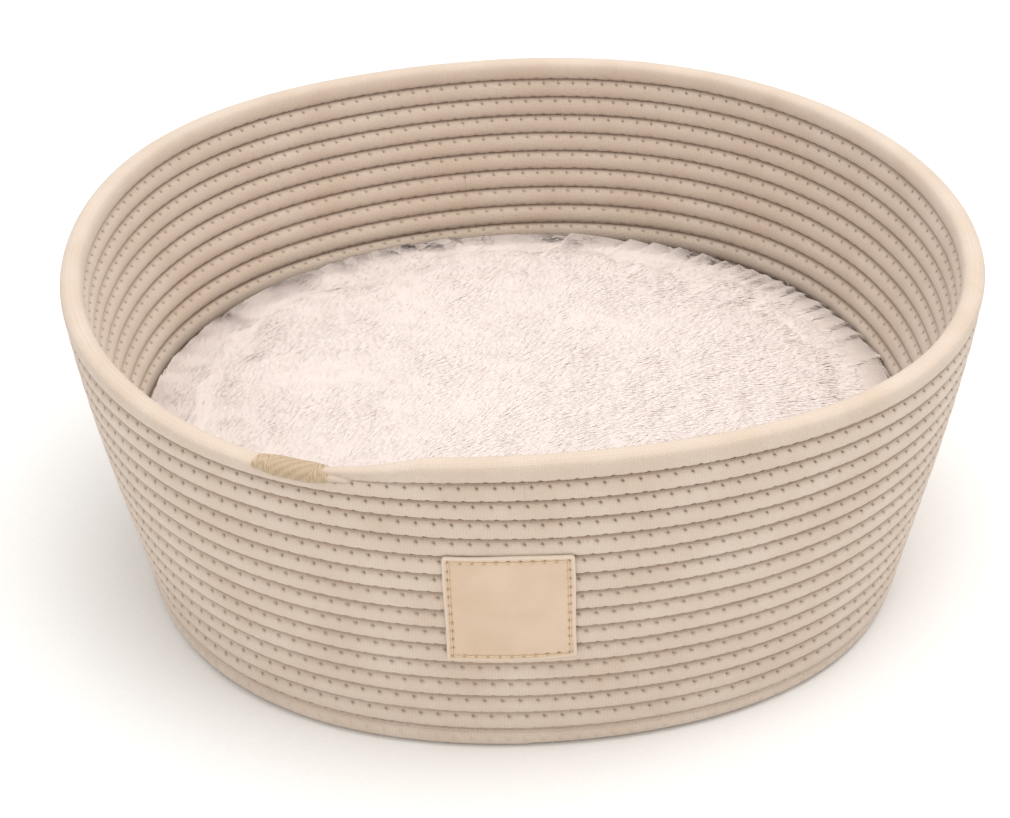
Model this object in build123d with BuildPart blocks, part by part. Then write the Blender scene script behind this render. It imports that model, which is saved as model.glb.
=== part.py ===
"""Round pet bed: a basket coiled from stitched cotton rope, with a loose plush cushion inside.

The frame is +Z up with the origin on the floor under the middle of the base. The front, which carries
the leather patch, faces -Y. Every course of rope is drawn as a closed ring, so one turn of the real
spiral is one ring here. All sizes are in millimetres.
"""

import os
from math import cos, degrees, hypot, radians, sin, sqrt

from build123d import *

# Rope and its courses
rope_d = 11.0  # loose rope diameter
rope_squeeze = 0.5  # how far neighbouring courses press into each other
course_pitch = rope_d - rope_squeeze
floor_flat = 0.4  # how much the base rope is pressed flat where it stands
base_rings = 18  # rings in the flat base
wall_courses = 15  # courses above the base, the last of them the rim
knuckle_lean = 9.0  # the first wall course leans this far out from upright, in degrees
wall_lean = 12.9  # lean of the lower wall
rim_lean = 5.6  # lean of the last course
lean_power = 2.25  # how late the wall turns upright; 1 would be evenly

# Thread that joins the courses
thread_r = 0.6
thread_sides = 4  # the thread is drawn square on its corner
thread_gap = 0.05  # thread to rope

# Satin-stitched whipping over the end of the rope, on the rim
whip_length = 40.0
whip_t = 0.8
whip_azimuth = -118.5  # degrees from +X, so it sits left of the front

# Leather patch on the front wall
patch_width = 60.0
patch_low = 5.0  # its lower edge, counted in courses above the base
patch_high = 10.8  # its upper edge
patch_azimuth = -92.7  # degrees from +X, so it sits just left of the front
patch_t = 1.6
patch_gap = 0.1  # patch to the crests of the rope
patch_corner_r = 2.0
stitch_inset = 3.5
stitch_r = 0.45
stitch_length = 3.4
stitches_across = 10
stitches_up = 9

# Cushion
rest_gap = 0.3  # cushion to rope, under it
cushion_play = 3.0  # cushion to wall, all round, at its widest
cushion_height = 63.0
cushion_belly = 44.0  # height of its widest line above its underside
shoulder_reach = 50.0  # how far in from the side its top rounds over
heel_gap = 2.0  # from the corners of the zip's tape out to where its underside rounds up
plush_t = 5.0  # backing and pile
underside_t = 1.2
seam_height = 12.0  # the cover's seam above the underside
seam_thread_r = 0.5
liner_t = 0.8

# Zip across the underside
zip_y = 45.0
zip_length = 225.0
zip_slot = 10.0  # width of the opening between the hems
hem_width = 8.0
hem_height = 4.0
tape_t = 0.6
tape_end = 8.0  # how far the tape runs past each end of the opening
chain_width = 5.0
chain_t = 2.2
chain_slot = 1.4  # between the two rows of teeth
stop_length = 2.0
slider_length = 10.0
slider_width = 8.4
slider_plate = 1.0
slider_play = 0.15
post_width = 1.0
post_length = 3.0
lug_r = 0.8
lug_head_r = 1.7
lug_head_t = 0.6
pull_length = 20.0
pull_width = 5.5
pull_t = 0.8
pull_play = 0.1  # pull to slider and lug
groove_play = 0.6  # zip to the pad above it

rope_r = rope_d / 2
base_z = rope_r - floor_flat
base_top = base_z + rope_r
base_edge = base_rings * course_pitch


def course_centres():
    """(radius, height) of the outer base ring and of each wall course above it."""
    centres = [(base_edge, base_z)]
    for step in range(wall_courses):
        rise = step / (wall_courses - 1)
        lean = radians(knuckle_lean if step == 0 else wall_lean - (wall_lean - rim_lean) * rise**lean_power)
        radius, height = centres[-1]
        centres.append((radius + course_pitch * sin(lean), height + course_pitch * cos(lean)))
    return centres


courses = course_centres()


def spread(low, high, count):
    """Evenly spaced values from low to high."""
    return [low + (high - low) * step / (count - 1) for step in range(count)]


def outward(low, high):
    """Unit vector (radial, up) that points out of the wall between two course centres."""
    along = Vector(high) - Vector(low)
    return along.Y / along.length, -along.X / along.length


def wall_at(course, offset):
    """(radius, height) of a point that is offset outwards from the wall's middle at a part course."""
    below = min(int(course), wall_courses - 1)
    low, high = courses[below], courses[below + 1]
    share = course - below
    normal = outward(low, high)
    return tuple(low[i] + (high[i] - low[i]) * share + normal[i] * offset for i in range(2))


def wall_radius(height):
    """Radius of the wall's middle at a height."""
    low, high = next((a, b) for a, b in zip(courses, courses[1:]) if b[1] >= height)
    return low[0] + (high[0] - low[0]) * (height - low[1]) / (high[1] - low[1])


def upright(azimuth):
    """Plane through the Z axis whose X runs outwards at an azimuth in degrees and whose Y runs up."""
    a = radians(azimuth)
    return Plane(origin=(0, 0, 0), x_dir=(cos(a), sin(a), 0), z_dir=(sin(a), -cos(a), 0))


def valley_threads(low, high):
    """Centres of the two threads that lie in the valleys between neighbouring ropes."""
    depth = sqrt((rope_r + thread_r + thread_gap) ** 2 - (course_pitch / 2) ** 2)
    normal = outward(low, high)
    middle = [(a + b) / 2 for a, b in zip(low, high)]
    return [tuple(m + side * depth * n for m, n in zip(middle, normal)) for side in (1, -1)]


def save(piece, name):
    piece.part.label = name
    export_step(piece.part, f"parts/{name}.step")


os.makedirs("parts", exist_ok=True)

# Basket: base, wall and rim -------------------------------------------------------------------

base_centres = [(ring * course_pitch, base_z) for ring in range(base_rings + 1)]
with BuildPart() as base_coil:
    with BuildSketch(Plane.XZ):
        with Locations(*base_centres):
            Circle(rope_r)
        with Locations((0, 0)):
            Rectangle(base_edge + rope_d, base_top, align=(Align.MIN, Align.MIN), mode=Mode.INTERSECT)
    revolve(axis=Axis.Z)
save(base_coil, "base_coil")

# The wall is written as three bands of neighbouring courses, each a plain hoop.
band_starts = [1 + round(share * (wall_courses - 1) / 3) for share in range(4)]
for band, first, end in zip(("lower", "middle", "upper"), band_starts, band_starts[1:]):
    with BuildPart() as wall_band:
        with BuildSketch(Plane.XZ):
            with Locations(*courses[first:end]):
                Circle(rope_r)
            with Locations(courses[first - 1]):
                Circle(rope_r, mode=Mode.SUBTRACT)
        revolve(axis=Axis.Z)
    save(wall_band, f"wall_coil_{band}")

with BuildPart() as rim_turn:
    with BuildSketch(Plane.XZ):
        with Locations(courses[-1]):
            Circle(rope_r)
        with Locations(courses[-2]):
            Circle(rope_r, mode=Mode.SUBTRACT)
    revolve(axis=Axis.Z)
save(rim_turn, "rim_turn")

whip_angle = degrees(whip_length / courses[-1][0])
with BuildPart() as rim_whipping:
    with BuildSketch(upright(whip_azimuth - whip_angle / 2)):
        with Locations(courses[-1]):
            Circle(rope_r + whip_t)
            Circle(rope_r, mode=Mode.SUBTRACT)
        with Locations(courses[-2]):
            Circle(rope_r + 2 * (thread_r + thread_gap), mode=Mode.SUBTRACT)
    revolve(axis=Axis.Z, revolution_arc=whip_angle)
save(rim_whipping, "rim_whipping")

# Thread between the courses -------------------------------------------------------------------

with BuildPart() as wall_stitching:
    with BuildSketch(Plane.XZ):
        for low, high in zip(courses, courses[1:]):
            with Locations(*valley_threads(low, high)):
                RegularPolygon(thread_r, thread_sides)
    revolve(axis=Axis.Z)
save(wall_stitching, "wall_stitching")

with BuildPart() as base_stitching:
    with BuildSketch(Plane.XZ):
        for low, high in zip(base_centres, base_centres[1:]):
            with Locations(*valley_threads(low, high)):
                RegularPolygon(thread_r, thread_sides)
    revolve(axis=Axis.Z)
save(base_stitching, "base_stitching")

# Leather patch and its stitches ---------------------------------------------------------------

patch_inner = rope_r + patch_gap
patch_outer = patch_inner + patch_t
patch_levels = spread(patch_low, patch_high, 13)
patch_radius = wall_at((patch_low + patch_high) / 2, patch_outer)[0]
patch_angle = degrees(patch_width / patch_radius)

with BuildPart() as leather_patch:
    with BuildSketch(upright(patch_azimuth - patch_angle / 2)):
        with BuildLine():
            inner = Spline(*[wall_at(level, patch_inner) for level in patch_levels])
            outer = Spline(*[wall_at(level, patch_outer) for level in patch_levels])
            Line(inner @ 0, outer @ 0)
            Line(inner @ 1, outer @ 1)
        make_face()
    revolve(axis=Axis.Z, revolution_arc=patch_angle)
    corners = leather_patch.edges().filter_by(lambda edge: abs(edge.length - patch_t) < patch_t / 20)
    fillet(corners, patch_corner_r)
save(leather_patch, "leather_patch")


def stitch_plane(azimuth, course, upwards):
    """Plane on the patch's face whose normal runs along the stitch."""
    radius, height = wall_at(course, patch_outer + stitch_r + thread_gap)
    a = radians(azimuth)
    across = Vector(-sin(a), cos(a), 0)
    low, high = wall_at(course - 0.1, patch_outer), wall_at(course + 0.1, patch_outer)
    up = Vector((high[0] - low[0]) * cos(a), (high[0] - low[0]) * sin(a), high[1] - low[1])
    middle = (radius * cos(a), radius * sin(a), height)
    return Plane(origin=middle, x_dir=across if upwards else up, z_dir=up if upwards else across)


inset_angle = degrees(stitch_inset / patch_radius)
inset_course = stitch_inset / course_pitch
half_angle = patch_angle / 2 - inset_angle
side_azimuths = [patch_azimuth - half_angle, patch_azimuth + half_angle]
end_courses = [patch_low + inset_course, patch_high - inset_course]
half_step = (end_courses[1] - end_courses[0]) / (2 * stitches_up)
half_turn = (side_azimuths[1] - side_azimuths[0]) / (2 * stitches_across)
with BuildPart() as patch_stitching:
    for azimuth in side_azimuths:
        for course in spread(end_courses[0] + half_step, end_courses[1] - half_step, stitches_up):
            with Locations(stitch_plane(azimuth, course, True)):
                Cylinder(stitch_r, stitch_length)
    for course in end_courses:
        for azimuth in spread(side_azimuths[0] + half_turn, side_azimuths[1] - half_turn, stitches_across):
            with Locations(stitch_plane(azimuth, course, False)):
                Cylinder(stitch_r, stitch_length)
save(patch_stitching, "patch_stitching")

# Cushion: plush cover, underside, seam, liner and filling -------------------------------------

cushion_z = base_top + rest_gap
belly_z = cushion_z + cushion_belly
cushion_r = wall_radius(belly_z) - rope_r - cushion_play
seam_z = cushion_z + seam_height

opening_length = zip_length + pull_length  # the pull stays between the hems at either end
opening_x = -pull_length / 2
tape_length = opening_length + 2 * tape_end
tape_width = zip_slot + 2 * hem_width
tape_corner = hypot(tape_length / 2 - opening_x, zip_y + tape_width / 2)
heel_reach = cushion_r - tape_corner - heel_gap  # how far in from the side the underside rounds up


def cushion_outline(side, under):
    """Half outline of the cushion, drawn in from the top and side and up from the underside."""
    radius = cushion_r - side
    top = cushion_z + cushion_height - side
    bottom = cushion_z + under
    shoulder = (radius - shoulder_reach, belly_z)
    heel = (radius - heel_reach, belly_z)
    with BuildLine() as outline:
        Line((0, bottom), (0, top))
        Line((0, top), (shoulder[0], top))
        EllipticalCenterArc(shoulder, shoulder_reach, top - belly_z, start_angle=0, arc_size=90)
        EllipticalCenterArc(heel, heel_reach, belly_z - bottom, start_angle=270, arc_size=90)
        Line((heel[0], bottom), (0, bottom))
    return outline.line


def cushion_body(side, under):
    """The cushion's solid at an inset, to cut the layers from."""
    with BuildPart() as body:
        with BuildSketch(Plane.XZ):
            with BuildLine():
                add(cushion_outline(side, under))
            make_face()
        revolve(axis=Axis.Z)
    return body.part


cover_body = cushion_body(0, 0)
liner_body = cushion_body(plush_t, underside_t)
filling_body = cushion_body(plush_t + liner_t, underside_t + liner_t)

# Heights of the zip's layers, from the underside up
hem_top = cushion_z + hem_height
tape_top = hem_top + tape_t
chain_z = hem_top + tape_t / 2
plate_gap = chain_t / 2 + slider_play
slider_top = chain_z + plate_gap + slider_plate
groove_length = tape_length + 2 * groove_play
groove_width = tape_width + 2 * groove_play
groove_top = slider_top + groove_play
on_floor_of = (Align.CENTER, Align.CENTER, Align.MIN)

with BuildPart() as cushion_plush_cover:
    add(cover_body)
    add(liner_body, mode=Mode.SUBTRACT)
    split(bisect_by=Plane.XY.offset(seam_z), keep=Keep.TOP)
save(cushion_plush_cover, "cushion_plush_cover")

with BuildPart() as cushion_underside:
    add(cover_body)
    add(liner_body, mode=Mode.SUBTRACT)
    split(bisect_by=Plane.XY.offset(seam_z), keep=Keep.BOTTOM)
    with Locations((opening_x, zip_y, cushion_z)):
        Box(tape_length, tape_width, hem_height, align=on_floor_of)
        Box(opening_length, zip_slot, hem_height, align=on_floor_of, mode=Mode.SUBTRACT)
save(cushion_underside, "cushion_underside")

seam_sin = (belly_z - seam_z) / cushion_belly
seam_cos = sqrt(1 - seam_sin**2)
seam_out = Vector(seam_cos / heel_reach, -seam_sin / cushion_belly).normalized()
seam_point = Vector(cushion_r - heel_reach + heel_reach * seam_cos, seam_z)
seam_centre = seam_point + seam_out * (seam_thread_r + thread_gap)
with BuildPart() as cushion_seam_thread:
    with BuildSketch(Plane.XZ):
        with Locations((seam_centre.X, seam_centre.Y)):
            RegularPolygon(seam_thread_r, thread_sides)
    revolve(axis=Axis.Z)
save(cushion_seam_thread, "cushion_seam_thread")

with BuildPart() as pad_filling:
    add(filling_body)
    with Locations((opening_x, zip_y, cushion_z)):
        Box(
            groove_length + 2 * liner_t,
            groove_width + 2 * liner_t,
            groove_top + liner_t - cushion_z,
            align=on_floor_of,
            mode=Mode.SUBTRACT,
        )
save(pad_filling, "pad_filling")

with BuildPart() as pad_liner:
    add(liner_body)
    add(pad_filling.part, mode=Mode.SUBTRACT)
    with Locations((opening_x, zip_y, cushion_z)):
        Box(groove_length, groove_width, groove_top - cushion_z, align=on_floor_of, mode=Mode.SUBTRACT)
save(pad_liner, "pad_liner")

# Zip: tape, teeth, slider and pull --------------------------------------------------------------

with BuildPart() as zip_tape:
    with Locations((opening_x, zip_y, hem_top)):
        Box(tape_length, tape_width, tape_t, align=on_floor_of)
    with Locations((0, zip_y, hem_top)):
        Box(zip_length, chain_width, tape_t, align=on_floor_of, mode=Mode.SUBTRACT)
save(zip_tape, "zip_tape")

with BuildPart() as zip_teeth:
    with Locations((0, zip_y, chain_z)):
        Box(zip_length, chain_width, chain_t)
        Box(zip_length - 2 * stop_length, chain_slot, chain_t, mode=Mode.SUBTRACT)
save(zip_teeth, "zip_teeth")

slider_x = zip_length / 2 - stop_length - slider_length / 2
slider_bottom = chain_z - plate_gap - slider_plate
lug_length = pull_t + 2 * pull_play
with BuildPart() as zip_slider:
    for side in (1, -1):
        with Locations((slider_x, zip_y, chain_z + side * (plate_gap + slider_plate / 2))):
            Box(slider_length, slider_width, slider_plate)
    with Locations((slider_x, zip_y, chain_z)):
        Box(post_length, post_width, 2 * plate_gap)
    with Locations((slider_x, zip_y, slider_bottom)):
        Cylinder(lug_r, lug_length, align=(Align.CENTER, Align.CENTER, Align.MAX))
    with Locations((slider_x, zip_y, slider_bottom - lug_length)):
        Cylinder(lug_head_r, lug_head_t, align=(Align.CENTER, Align.CENTER, Align.MAX))
save(zip_slider, "zip_slider")

with BuildPart() as zip_pull:
    with BuildSketch(Plane.XY.offset(slider_bottom - pull_play)):
        with Locations((slider_x - pull_length / 2 + pull_width / 2, zip_y)):
            SlotOverall(pull_length, pull_width)
        with Locations((slider_x, zip_y)):
            Circle(lug_r + pull_play, mode=Mode.SUBTRACT)
    extrude(amount=-pull_t)
save(zip_pull, "zip_pull")

rim_top = courses[-1][1] + rope_r
print("outer diameter", round(2 * (courses[-1][0] + rope_r), 1), "height", round(rim_top, 1))
print("cushion radius", round(cushion_r, 1), "top", round(cushion_z + cushion_height, 1))
print("slider travel", round(zip_length - 2 * stop_length - slider_length, 1))
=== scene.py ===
# %% [markdown]
# # A coiled rope bed with a plush cushion
# The basket is one long cotton rope, wound in a flat spiral for the base and then upwards for the wall, and sewn to
# itself with zig-zag stitches. A loose cushion lies in it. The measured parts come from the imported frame. Every soft
# piece gets a detailed mesh here, and a material built from what the real thing is made of.

# %% Load the frame
import math

import bmesh
import bpy
import numpy as np
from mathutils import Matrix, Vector, noise


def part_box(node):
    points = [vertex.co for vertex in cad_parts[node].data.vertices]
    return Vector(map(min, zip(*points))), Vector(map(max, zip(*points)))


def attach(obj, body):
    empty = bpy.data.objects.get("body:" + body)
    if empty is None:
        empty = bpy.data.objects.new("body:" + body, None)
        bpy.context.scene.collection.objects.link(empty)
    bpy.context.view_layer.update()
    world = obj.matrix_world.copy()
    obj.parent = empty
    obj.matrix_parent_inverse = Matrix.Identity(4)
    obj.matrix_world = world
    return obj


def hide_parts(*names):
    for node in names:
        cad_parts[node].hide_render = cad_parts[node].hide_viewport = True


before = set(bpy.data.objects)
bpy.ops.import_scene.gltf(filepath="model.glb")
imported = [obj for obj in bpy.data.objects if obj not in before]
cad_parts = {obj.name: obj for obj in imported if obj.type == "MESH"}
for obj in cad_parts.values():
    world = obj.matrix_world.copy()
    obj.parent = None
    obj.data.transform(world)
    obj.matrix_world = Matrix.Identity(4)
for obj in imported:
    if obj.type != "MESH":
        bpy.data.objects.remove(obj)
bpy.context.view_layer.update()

# %% [markdown]
# ## Meshes from arrays
# A rope of thousands of rings is too slow to build face by face. Blender can take whole arrays of points and faces at
# once, so one helper turns arrays into an object. Everything is worked out in millimetres, and this helper is the one
# place where millimetres become Blender's metres.

# %% Make an object from arrays
MM = 0.001


def mesh_piece(name, points, faces, material, uv=None, marks=None):
    """faces is a list of integer arrays, each (n, corners). uv is one pair per face corner, in the same order."""
    data = bpy.data.meshes.new(name)
    points = np.asarray(points, float).reshape(-1, 3) * MM
    data.vertices.add(len(points))
    data.vertices.foreach_set("co", points.ravel())
    corners = np.concatenate([f.ravel() for f in faces]).astype(np.int32)
    sizes = np.concatenate([np.full(len(f), f.shape[1]) for f in faces])
    data.loops.add(len(corners))
    data.loops.foreach_set("vertex_index", corners)
    data.polygons.add(len(sizes))
    starts = np.concatenate([[0], np.cumsum(sizes)[:-1]]).astype(np.int32)
    data.polygons.foreach_set("loop_start", starts)
    if uv is not None:
        layer = data.uv_layers.new(name="Thread")
        layer.data.foreach_set("uv", np.asarray(uv, np.float32).ravel())
    for mark, values in (marks or {}).items():
        layer = data.attributes.new(mark, "FLOAT", "POINT")
        layer.data.foreach_set("value", np.asarray(values, np.float32).ravel())
    data.update(calc_edges=True)
    data.polygons.foreach_set("use_smooth", np.ones(len(sizes), bool))
    data.materials.append(material)
    piece = bpy.data.objects.new(name, data)
    bpy.context.scene.collection.objects.link(piece)
    return piece


# %% [markdown]
# A rope, a thread and a cord of whipping are all tubes: a row of rings, each ring a loop of points. Faces join each
# ring to the next. The UV map runs along the tube in millimetres and once round it, so a knit or a twist can be drawn
# at its true size later.


# %% Join rings into tubes
def tube_faces(rings, sides, first=0):
    """Quads between neighbouring rings and a fan of triangles at each end."""
    ring = np.arange(rings - 1)[:, None]
    side = np.arange(sides)[None, :]
    following = (side + 1) % sides
    low, high = first + ring * sides, first + (ring + 1) * sides
    quads = np.stack([low + side, low + following, high + following, high + side], -1).reshape(-1, 4)
    fan = np.arange(1, sides - 1)
    last = first + (rings - 1) * sides
    start_cap = np.stack([np.full_like(fan, first), first + fan + 1, first + fan], -1)
    end_cap = np.stack([np.full_like(fan, last), last + fan, last + fan + 1], -1)
    return quads, np.concatenate([start_cap, end_cap])


def tube_uv(along, sides):
    """Corner coordinates for tube_faces: millimetres along, turns round."""
    rings = len(along)
    round_it = np.arange(sides + 1) / sides
    u0, u1 = np.broadcast_arrays(along[:-1, None], along[1:, None])
    v0 = np.broadcast_to(round_it[:-1], (rings - 1, sides))
    v1 = np.broadcast_to(round_it[1:], (rings - 1, sides))
    u0, u1 = (np.broadcast_to(u, (rings - 1, sides)) for u in (u0, u1))
    quads = np.stack([u0, v0, u0, v1, u1, v1, u1, v0], -1).reshape(-1, 2)
    caps = np.zeros(((sides - 2) * 2 * 3, 2))
    caps[: (sides - 2) * 3, 0] = along[0]
    caps[(sides - 2) * 3 :, 0] = along[-1]
    return np.concatenate([quads, caps])


def unit(vectors):
    return vectors / np.maximum(np.linalg.norm(vectors, axis=-1, keepdims=True), 1e-9)


def thread_piece(name, line, outward, radius, sides, material):
    """A round thread along a line of points. outward says which way is away from what it lies on."""
    run = unit(np.gradient(line, axis=0))
    side = unit(np.cross(run, outward))
    turn = (np.arange(sides) * 2 * math.pi / sides)[None, :, None]
    ring = np.cos(turn) * np.cross(side, run)[:, None] + np.sin(turn) * side[:, None]
    along = np.concatenate([[0], np.cumsum(np.linalg.norm(np.diff(line, axis=0), axis=1))])
    thickness = np.broadcast_to(np.asarray(radius, float).reshape(-1, 1, 1), (len(line), 1, 1))
    points = line[:, None] + thickness * ring
    return mesh_piece(name, points, list(tube_faces(len(line), sides)), material, tube_uv(along, sides))


def belongs(piece, body, slot, *nodes):
    """Hangs a finished piece on its body and hides the measured parts it stands for. slot is not used."""
    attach(piece, body)
    if nodes:
        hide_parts(*nodes)
    print(piece.name, len(piece.data.polygons), "faces")


# %% [markdown]
# ## Materials from nodes
# Colours are written as sRGB hex, as a maker would read them off a swatch, and turned to Blender's linear values in
# one function. One more function adds a node with its settings and links, and hands back one of its outputs, so the
# nodes of a material read in the order in which the finish is worked out. A mix node of colours has its share at
# input 0, its two colours at 6 and 7, and its result at output 2.


# %% Colour and node helpers
def srgb(code):
    """'#D8C5B2' as linear red, green, blue and alpha."""
    parts = [int(code[i : i + 2], 16) / 255 for i in (1, 3, 5)]
    return tuple(c / 12.92 if c <= 0.04045 else ((c + 0.055) / 1.055) ** 2.4 for c in parts) + (1.0,)


def add_node(tree, kind, inputs=None, out=0, **settings):
    """Adds a node, sets its properties, gives inputs a value or a link, and returns the output that was asked for."""
    made = tree.nodes.new(kind)
    for name, value in settings.items():
        setattr(made, name, value)
    for socket, value in (inputs or {}).items():
        if isinstance(value, bpy.types.NodeSocket):
            tree.links.new(value, made.inputs[socket])
        else:
            made.inputs[socket].default_value = value
    return made.outputs[out]


def new_material(name, roughness, sheen=0.0, ior=1.5, metallic=0.0):
    """A material with its surface shader's plain numbers set, its node tree and that shader."""
    material = bpy.data.materials.new(name)
    material.use_nodes = True
    tree = material.node_tree
    shader = tree.nodes["Principled BSDF"]
    shader.inputs["Roughness"].default_value = roughness
    shader.inputs["Sheen Weight"].default_value = sheen
    shader.inputs["Metallic"].default_value = metallic
    if not metallic:
        shader.inputs["IOR"].default_value = ior
    return material, tree, shader


MATH, MIX, NOISE, RANGE = "ShaderNodeMath", "ShaderNodeMix", "ShaderNodeTexNoise", "ShaderNodeMapRange"

# %% [markdown]
# ## Knitted cotton rope
# The rope has a cover knitted from soft cotton yarn round a filler core. A knit shows as rows of small V shapes: each
# wale is a column of stitches along the rope, and both legs of a stitch lean towards its middle. The pattern could be
# modelled loop by loop, but the loops are about 1.6 mm wide, so a bump drawn on the rope's own coordinates is enough.
# Cotton has no gloss. It is rough, and its loose fibres catch a little light at grazing angles, which is what the
# sheen is for. The points where the needle went in are marked on the mesh and painted dark, as painted shade in the
# pits.

# %% Rope material
ROPE_D = 11.0
KNIT_WALE = 1.7  # width of one column of stitches
KNIT_STITCH = 1.5  # length of one stitch


def rope_material():
    material, tree, shader = new_material("knitted_cotton_rope", roughness=0.95, sheen=0.25)
    shader.inputs["Sheen Roughness"].default_value = 0.6
    along = add_node(tree, "ShaderNodeSeparateXYZ", {0: add_node(tree, "ShaderNodeUVMap", uv_map="Thread")})
    round_it = along.node.outputs[1]
    wale = add_node(tree, MATH, {0: round_it, 1: round(math.pi * ROPE_D / KNIT_WALE)}, operation="MULTIPLY")
    in_wale = add_node(tree, MATH, {0: wale}, operation="FRACT")
    across = add_node(tree, MATH, {0: in_wale, 1: 0.5}, operation="SUBTRACT")
    from_middle = add_node(tree, MATH, {0: across}, operation="ABSOLUTE")
    rows = add_node(tree, MATH, {0: along, 1: KNIT_STITCH}, operation="DIVIDE")
    slanted = add_node(tree, MATH, {0: rows, 1: from_middle}, operation="ADD")
    stitch = add_node(tree, MATH, {0: slanted, 1: 0.5}, operation="PINGPONG")
    turn = add_node(tree, MATH, {0: from_middle, 1: 2 * math.pi}, operation="MULTIPLY")
    leg = add_node(tree, MATH, {0: add_node(tree, MATH, {0: turn}, operation="SINE"), 1: 2.0}, operation="MULTIPLY")
    place = add_node(tree, "ShaderNodeTexCoord", out="Object")
    fibre = add_node(tree, NOISE, {"Vector": place, "Scale": 900.0, "Detail": 3.0})
    fuzz = add_node(tree, MATH, {0: fibre, 1: 0.9}, operation="MULTIPLY")
    height = add_node(tree, MATH, {0: stitch, 1: leg, 2: fuzz}, operation="MULTIPLY_ADD")
    bump = add_node(tree, "ShaderNodeBump", {"Strength": 0.55, "Distance": 0.0004, "Height": height})
    tree.links.new(bump, shader.inputs["Normal"])
    patches = add_node(tree, NOISE, {"Vector": place, "Scale": 34.0, "Detail": 4.0})
    tone = add_node(tree, RANGE, {0: patches, 1: 0.3, 2: 0.7})
    cotton = add_node(tree, MIX, {0: tone, 6: srgb("#D3BFAC"), 7: srgb("#DCCBBB")}, out=2, data_type="RGBA")
    # Painted shade in the knit's hollows: the lower the bump, knit and fibre fuzz alike, the darker the cotton.
    knit_hollow_shade = add_node(tree, RANGE, {0: height, 1: 0.2, 2: 1.2, 3: 0.32, 4: 0.0})
    shaded = add_node(tree, MIX, {0: knit_hollow_shade, 6: cotton, 7: srgb("#B59C84")}, out=2, data_type="RGBA")
    # Painted shade where neighbouring courses meet, from the seam mark.
    seam = add_node(tree, "ShaderNodeAttribute", out="Fac", attribute_name="seam")
    with_seam_shade = add_node(tree, MIX, {0: seam, 6: shaded, 7: srgb("#A98C70")}, out=2, data_type="RGBA")
    # Painted shade in the needle pits.
    needle = add_node(tree, "ShaderNodeAttribute", out="Fac", attribute_name="needle")
    final = add_node(tree, MIX, {0: needle, 6: with_seam_shade, 7: srgb("#5E4630")}, out=2, data_type="RGBA")
    tree.links.new(final, shader.inputs["Base Color"])
    return material


rope_cotton = rope_material()

# %% [markdown]
# ## Sewing thread, whipping thread and stitches
# Thread is spun yarn: two or three plies twisted together. Seen close, the twist is a slanted groove, drawn as a bump
# and painted darker, as painted shade between the plies. The same recipe gives the cotton thread of the zig-zag, the
# silky tan thread over the rope's end and the waxed thread on the patch, with its own colour, twist and gloss each
# time.


# %% Thread materials
def thread_material(name, light, dark, roughness, twist_mm, sheen, relief):
    material, tree, shader = new_material(name, roughness=roughness, sheen=sheen)
    along = add_node(tree, "ShaderNodeSeparateXYZ", {0: add_node(tree, "ShaderNodeUVMap", uv_map="Thread")})
    turns = add_node(tree, MATH, {0: along, 1: twist_mm}, operation="DIVIDE")
    slanted = add_node(tree, MATH, {0: turns, 1: along.node.outputs[1]}, operation="ADD")
    ply = add_node(tree, MATH, {0: slanted}, operation="FRACT")
    groove = add_node(tree, MATH, {0: ply, 1: 0.5}, operation="PINGPONG")
    bump = add_node(tree, "ShaderNodeBump", {"Strength": relief, "Distance": 0.0002, "Height": groove})
    tree.links.new(bump, shader.inputs["Normal"])
    # Painted shade: the groove between the plies takes the dark colour.
    tone = add_node(tree, RANGE, {0: groove, 1: 0.0, 2: 0.3})
    colour = add_node(tree, MIX, {0: tone, 6: srgb(dark), 7: srgb(light)}, out=2, data_type="RGBA")
    tree.links.new(colour, shader.inputs["Base Color"])
    return material


sewing_cotton = thread_material("spun_cotton_thread", "#D2C0AF", "#C3AE9A", 0.85, 1.6, 0.2, 0.4)
whipping_silk = thread_material("rayon_whipping_thread", "#C5AE92", "#AA9272", 0.42, 5.0, 0.1, 0.2)
waxed_linen = thread_material("waxed_linen_thread", "#DDC3A0", "#D3B793", 0.5, 3.0, 0.05, 0.2)

# %% [markdown]
# ## The coil's path
# One number says where we are on the rope: how many courses out from the middle. A profile turns that number into a
# radius and a height, first straight out for the base and then up the wall. The azimuth turns with it, one full circle
# for each course, so the rope climbs as a real spiral. Closed rings would be simpler, but then nothing would explain
# the rope's end on the rim.

# %% Wall profile and spiral
PITCH = 10.5
BASE_RINGS = 18
WALL_COURSES = 15
FLOOR_FLAT = 0.4
KNUCKLE_LEAN, WALL_LEAN, RIM_LEAN, LEAN_POWER = 9.0, 12.9, 5.6, 2.25
ROPE_END_AZIMUTH = -123.3  # left of the front, which is at -90
FRONT = -90.0

profile = [(0.0, ROPE_D / 2 - FLOOR_FLAT), (BASE_RINGS * PITCH, ROPE_D / 2 - FLOOR_FLAT)]
profile_courses = [0.0, float(BASE_RINGS)]
for step in range(WALL_COURSES + 1):
    rise = min(step / (WALL_COURSES - 1), 1.0)
    lean = math.radians(KNUCKLE_LEAN if step == 0 else WALL_LEAN - (WALL_LEAN - RIM_LEAN) * rise**LEAN_POWER)
    r, z = profile[-1]
    profile.append((r + PITCH * math.sin(lean), z + PITCH * math.cos(lean)))
    profile_courses.append(BASE_RINGS + step + 1.0)
profile = np.array(profile)
rim_course = BASE_RINGS + WALL_COURSES
course_at_end = rim_course + (FRONT - ROPE_END_AZIMUTH) / 360


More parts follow.
